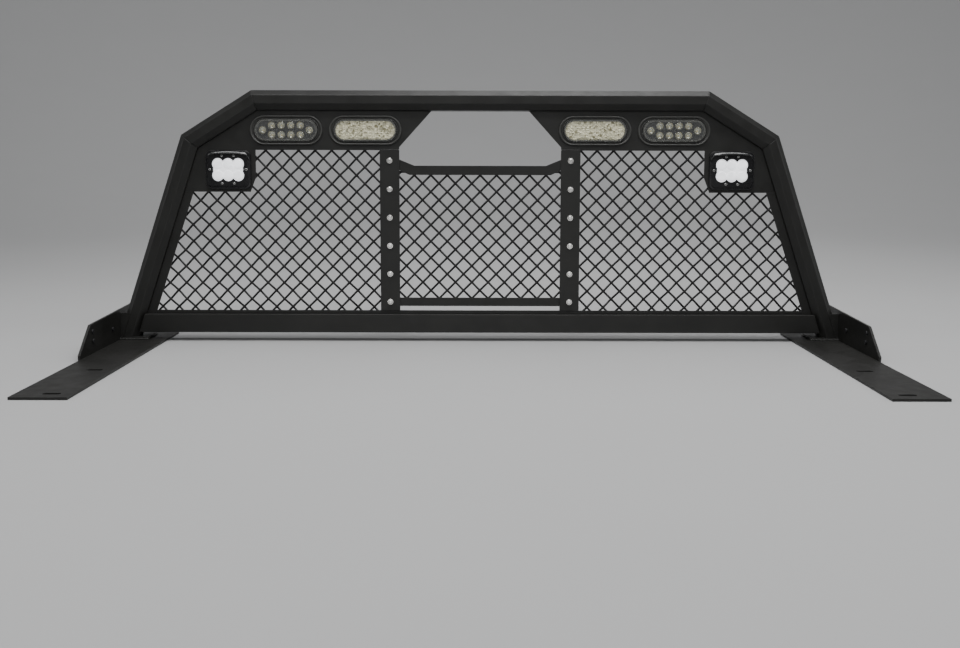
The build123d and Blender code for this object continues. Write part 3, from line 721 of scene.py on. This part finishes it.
def oval_lamp(prefix, prismatic):
    """All the pieces of one lamp, in the places of its CAD nodes."""
    centre = rack_centre(prefix + "_grommet")
    centre = (centre.x, centre.y)
    mesh = from_lists(prefix, *grommet_mesh(centre))
    finish_mesh(prefix + "_rubber_ring", mesh, RUBBER, (prefix + "_grommet",), sharp=50.0)
    soften(prefix + "_housing", DARK_PLASTIC, width=0.0006)
    if prismatic:
        chunks = [(*prism_sheet(centre), 0)]
        materials = [WARM_OPTIC]
    else:
        chunks = [(*base_mesh(centre), BASE)]
        for x, y in led_places():
            chunks += optic_chunks(centre, x, y)
        materials = [DARK_PLASTIC, CHROME, PHOSPHOR, OPTIC]
    points, faces, indices = merge(chunks)
    finish_mesh(
        prefix + "_optics",
        from_lists(prefix + "_optics", points, faces, indices),
        materials,
        (prefix + "_led_board",),
        sharp=40.0,
    )
    points, faces, indices = merge([(*cover_mesh(centre), 0), (*rim_mesh(centre), 1)])
    mesh = from_lists(prefix + "_cover", points, faces, indices)
    finish_mesh(prefix + "_cover", mesh, [CLEAR, RIM], (prefix + "_lens",), sharp=40.0)


for side in SIDES:
    oval_lamp(f"{side}_inner_lamp", True)
    oval_lamp(f"{side}_outer_lamp", False)

# ---------------------------------------------------------------- floodlights
BEZEL_BACK = -0.0215
BEZEL_FRONT = -0.011
FLOOD_BEZEL = (0.118, 0.101)
SCREWS = (
    (-0.0157, 0.036),
    (0.0157, 0.036),
    (-0.0157, -0.036),
    (0.0157, -0.036),
    (-0.0475, 0.0),
    (0.0475, 0.0),
)
BOSS = 0.0066                   # radius kept clear round each screw
# each lobe of the opening: its middle and its radius
DOMES = [(column * 0.0266, row * 0.0146, 0.0152) for column in (-1, 0, 1) for row in (-1, 1)]
LOBES = DOMES + [(-0.0265, 0.0, 0.0130), (0.0265, 0.0, 0.0130)]
ROUND = 240                     # points round the opening and the bezel


def lens_reach(angle):
    """How far the opening reaches from its middle in a direction: lobes, cut back at the screws."""
    direction = Vector((cos(angle), sin(angle)))
    across = Vector((-direction.y, direction.x))
    reach = 0.0
    for x, y, radius in LOBES:
        along = Vector((x, y)).dot(direction)
        off = Vector((x, y)).dot(across)
        if abs(off) < radius:
            reach = max(reach, along + sqrt(radius**2 - off**2))
    for screw in SCREWS:
        along = Vector(screw).dot(direction)
        off = Vector(screw).dot(across)
        if along > 0 and abs(off) < BOSS:
            reach = min(reach, along - sqrt(BOSS**2 - off**2))
    return reach


def scallop_loop(inset, z, centre):
    """The opening's outline, drawn in by a distance."""
    loop = []
    for i in range(ROUND):
        a = 2 * pi * i / ROUND
        reach = lens_reach(a) - inset
        loop.append((centre[0] + reach * cos(a), centre[1] + reach * sin(a), z))
    return loop


def rounded_loop(size, radius, z, centre):
    """A rounded rectangle, one point for each direction from the middle."""
    half = (size[0] / 2, size[1] / 2)
    loop = []
    for i in range(ROUND):
        a = 2 * pi * i / ROUND
        dx, dy = cos(a), sin(a)
        t = min(half[0] / max(abs(dx), 1e-9), half[1] / max(abs(dy), 1e-9))
        x, y = t * dx, t * dy
        cx, cy = half[0] - radius, half[1] - radius
        if abs(x) > cx and abs(y) > cy:
            corner = Vector((cx if dx > 0 else -cx, cy if dy > 0 else -cy))
            d = Vector((dx, dy))
            b = corner.dot(d)
            t = b + sqrt(max(0.0, b * b - corner.length_squared + radius * radius))
            x, y = t * dx, t * dy
        loop.append((centre[0] + x, centre[1] + y, z))
    return loop


def flood_bezel(prefix, centre):
    """Frame with rounded edges, a raised inner face and the scalloped opening."""
    # size, corner radius and depth of each ring of points
    steps = [
        (FLOOD_BEZEL, 0.016, BEZEL_BACK + 0.0002),
        (FLOOD_BEZEL, 0.016, BEZEL_FRONT - 0.0045),
        ((0.1168, 0.0998), 0.0154, BEZEL_FRONT - 0.0032),
        ((0.1140, 0.0970), 0.0140, BEZEL_FRONT - 0.0026),
        ((0.1085, 0.0915), 0.0115, BEZEL_FRONT - 0.0024),
        ((0.1068, 0.0898), 0.0108, BEZEL_FRONT - 0.0012),
        ((0.1050, 0.0880), 0.0100, BEZEL_FRONT),
    ]
    loops = [rounded_loop(size, radius, z, centre) for size, radius, z in steps]
    loops.append(scallop_loop(-0.0009, BEZEL_FRONT, centre))
    loops.append(scallop_loop(-0.0002, BEZEL_FRONT - 0.0008, centre))
    loops.append(scallop_loop(0.0, BEZEL_BACK + 0.0002, centre))
    mesh = from_lists(prefix + "_bezel", *loft(loops, closed=True))
    finish_mesh(prefix + "_bezel_frame", mesh, CASTING, (prefix + "_bezel",), sharp=40.0)


BROW_HALF = 0.0560              # half the brow's length
BROW_BELOW = 0.0072             # its ends' height, below the bezel's top
BROW_RISE = 0.0070              # how far its middle rises
BROW_DROP, BROW_STRAIGHT = 0.013, 0.80      # how far its tips drop, and from which share of its length
BROW_THICK, BROW_THINNER = 0.0088, 0.0040
BROW_REACH = 0.0056             # how far it stands out of the bezel
BROW_SINK = 0.003               # how far it goes into the bezel
BROW_SWELL = 0.12
BROW_STEPS, BROW_FACETS = 48, 8


def brow_section(thick, reach):
    """The brow's outline across its length: heights below its top edge, and depths."""
    section = [(0.0, BEZEL_FRONT - BROW_SINK)]
    for k in range(BROW_FACETS + 1):
        share = k / BROW_FACETS
        swell = BROW_SWELL * sin(pi * share)
        depth = BEZEL_FRONT - 0.001 + (reach + 0.001) * (share + swell)
        section.append((-thick * (share - swell), depth))
    section.append((-thick - 0.0010, BEZEL_FRONT + reach - 0.0006))
    section.append((-thick - 0.0014, BEZEL_FRONT - BROW_SINK))
    return section


def flood_brow(prefix, centre):
    """The arched lip that stands out over the top of the bezel."""
    loops = []
    for i in range(BROW_STEPS + 1):
        s = i / BROW_STEPS * 2 - 1
        tip = max(0.0, abs(s) - BROW_STRAIGHT) / (1 - BROW_STRAIGHT)
        arch = BROW_RISE * (1 - abs(s) ** 2.4) - BROW_DROP * tip**2
        top = centre[1] + FLOOD_BEZEL[1] / 2 - BROW_BELOW + arch
        thick = BROW_THICK - BROW_THINNER * abs(s) ** 3
        reach = BROW_REACH * (1 - abs(s) ** 5) + 0.0002
        x = centre[0] + s * BROW_HALF
        loops.append([(x, top + height, z) for height, z in brow_section(thick, reach)])
    mesh = from_lists(prefix + "_brow", *loft(loops))
    finish_mesh(prefix + "_brow", mesh, GLOSS, (), sharp=50.0)


# the lit cover: insets of its rim, then radii of a dome, each with a depth
LENS_RIM = ((0.0002, -0.0175), (0.0002, -0.0140), (0.0010, -0.0134), (0.0035, -0.0133))
LENS_DOME = (
    (0.0132, -0.0135),
    (0.0126, -0.0128),
    (0.0104, -0.0120),
    (0.0070, -0.0115),
    (0.0025, -0.0113),
)
DOME_CLOSER = 0.98              # the domes lie a little closer together than the lobes


def flood_lens(prefix, centre):
    """Lit cover in the scalloped opening: a flat rim and six shallow domes."""
    chunks = [loft([scallop_loop(inset, z, centre) for inset, z in LENS_RIM])]
    for x, y, _ in DOMES:
        place = (centre[0] + x * DOME_CLOSER, centre[1] + y * DOME_CLOSER)
        dome = [disc_loop(radius, z, place) for radius, z in LENS_DOME]
        chunks.append(loft(dome, cap_first=False))
    points, faces, _ = merge(chunks)
    mesh = from_lists(prefix + "_lens", points, faces)
    finish_mesh(prefix + "_lit_lens", mesh, LIT, (prefix + "_lens",), sharp=30.0)


for side in SIDES:
    prefix = f"{side}_flood"
    middle = rack_centre(prefix + "_gasket")
    middle = (middle.x, middle.y)
    flood_bezel(prefix, middle)
    flood_brow(prefix, middle)
    flood_lens(prefix, middle)
    soften(prefix + "_housing", CASTING, width=0.0006)
    soften(prefix + "_screws", POLISHED, width=0.0002)
    frame["nodes"][prefix + "_gasket"].data.materials[0] = RUBBER
    frame["nodes"][prefix + "_led_board"].data.materials[0] = BOARD_WHITE

# ---------------------------------------------------------------- welds
rng = np.random.default_rng(11)
RIPPLE = 0.0009                 # length of one step along a bead
SHOE_BEAD, SEAM_BEAD = 0.0024, 0.0019       # radii
SHOE_BEAD_UP = 0.0012
SEAM_HEIGHT, SEAM_DEPTH = 0.499, -0.0215    # the seam over an upright, in the rack's plane
SEAM_END = 0.002                # the bead stops short of the upright's edges


def weld(name, corners, radius):
    """A weld bead along corners, in the frame's own axes: ripples of slightly uneven size."""
    path = []
    radii = []
    for a, b in zip(corners, corners[1:]):
        a, b = Vector(a), Vector(b)
        count = max(2, int((b - a).length / RIPPLE))
        for i in range(count):
            path.append(a + (b - a) * (i / count))
            ripple = 0.16 * sin(len(path) * pi / 2)
            radii.append(radius * (1 + ripple + 0.05 * rng.standard_normal()))
    path.append(Vector(corners[-1]))
    radii.append(radius)
    mesh = from_lists(name, *tube_along(path, radii))
    return finish_mesh(name, mesh, WELD, (), sharp=60.0, in_rack=False)


for side in SIDES:
    low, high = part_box(f"{side}_leg_shoe")
    inner_x, outer_x = (low.x, high.x) if side == "right" else (high.x, low.x)
    z = low.z + SHOE_BEAD_UP
    corners = [(inner_x, high.y, z), (inner_x, low.y, z), (outer_x, low.y, z)]
    weld(f"{side}_shoe_weld", corners, SHOE_BEAD)
    # the upright's top is welded to the light panel above it
    low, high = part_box(f"{side}_upright")
    seam = RACK @ Vector((0, SEAM_HEIGHT, SEAM_DEPTH))
    ends = [(x, seam.y, seam.z) for x in (low.x + SEAM_END, high.x - SEAM_END)]
    weld(f"{side}_upright_weld", ends, SEAM_BEAD)


# ---------------------------------------------------------------- floor, light and camera
def studio_bowl():
    """A pale floor that curves up into a wall all round."""
    flat, curve, wall, sides, bends = 4.0, 6.0, 10.0, 96, 16
    profile = [(flat * 0.5, 0.0), (flat, 0.0)]
    for i in range(1, bends + 1):
        a = i / bends * pi / 2
        profile.append((flat + curve * sin(a), curve * (1 - cos(a))))
    profile.append((flat + curve, wall))
    points = [(0.0, 0.0, 0.0)]
    turns = [2 * pi * k / sides for k in range(sides)]
    for radius, z in profile:
        points += [(radius * cos(a), radius * sin(a), z) for a in turns]
    faces = [(0, 1 + k, 1 + (k + 1) % sides) for k in range(sides)]
    for ring in range(len(profile) - 1):
        a, b = 1 + ring * sides, 1 + (ring + 1) * sides
        faces += [(a + k, b + k, b + (k + 1) % sides, a + (k + 1) % sides) for k in range(sides)]
    mesh = bpy.data.meshes.new("studio_floor")
    mesh.from_pydata(points, [], faces)
    mesh.shade_smooth()
    material, tree, bsdf = shader("studio_paper")
    paper = mix_colour(tree, noise(tree, 3.0), (0.40, 0.40, 0.40), (0.41, 0.41, 0.41))
    tree.links.new(paper, bsdf.inputs["Base Color"])
    bsdf.inputs["Roughness"].default_value = 0.9
    mesh.materials.append(material)
    floor = bpy.data.objects.new("studio_floor", mesh)
    bpy.context.scene.collection.objects.link(floor)


def softbox(name, place, target, size, power):
    """A rectangular area light that faces a point."""
    light = bpy.data.lights.new(name, "AREA")
    light.shape = "RECTANGLE"
    light.size, light.size_y = size
    light.energy = power
    lamp = bpy.data.objects.new(name, light)
    lamp.location = place
    lamp.rotation_euler = (Vector(target) - Vector(place)).to_track_quat("-Z", "Y").to_euler()
    bpy.context.scene.collection.objects.link(lamp)


studio_bowl()
softbox("top_softbox", (0.35, 0.25, 3.4), (0.0, 0.3, 0.4), (5.6, 1.8), 118.0)
softbox("edge_strip", (0.0, -0.55, 2.6), (0.0, 0.27, 0.5), (3.6, 0.35), 34.0)
softbox("front_softbox", (0.0, -3.6, 3.8), (0.0, 0.2, 0.4), (4.0, 1.4), 46.0)
softbox("low_fill", (0.0, -3.4, 0.5), (0.0, 0.2, 0.3), (3.0, 0.6), 10.0)
softbox("right_softbox", (4.2, -0.6, 1.8), (0.0, 0.2, 0.3), (1.4, 2.0), 36.0)
softbox("left_softbox", (-4.2, -0.6, 1.8), (0.0, 0.2, 0.3), (1.4, 2.0), 28.0)
softbox("wall_light", (0.0, 3.2, 4.6), (0.0, 9.5, 2.2), (8.0, 1.5), 145.0)

WORLD_COLOUR = (0.85, 0.87, 0.9, 1.0)
WORLD_STRENGTH = 0.40
world = bpy.data.worlds.new("studio_world")
world.use_nodes = True
sky = world.node_tree.nodes["Background"]
sky.inputs["Color"].default_value = WORLD_COLOUR
sky.inputs["Strength"].default_value = WORLD_STRENGTH
bpy.context.scene.world = world

EYE = (-0.0036, -2.0495, 0.4873)
PITCH_DOWN = 0.19055            # turns of the camera, in radians
YAW = -0.00181
ROLL = 0.00234
SENSOR = 36.0                   # the camera's own millimetres
FOCAL = 32.82
camera_data = bpy.data.cameras.new("photo_camera")
camera_data.sensor_width = SENSOR
camera_data.lens = FOCAL
camera = bpy.data.objects.new("photo_camera", camera_data)
turn = Matrix.Rotation(YAW, 4, "Z") @ Matrix.Rotation(-PITCH_DOWN, 4, "X")
turn = turn @ Matrix.Rotation(-ROLL, 4, "Y") @ Matrix.Rotation(pi / 2, 4, "X")
camera.matrix_world = Matrix.Translation(EYE) @ turn
bpy.context.scene.collection.objects.link(camera)
bpy.context.scene.camera = camera
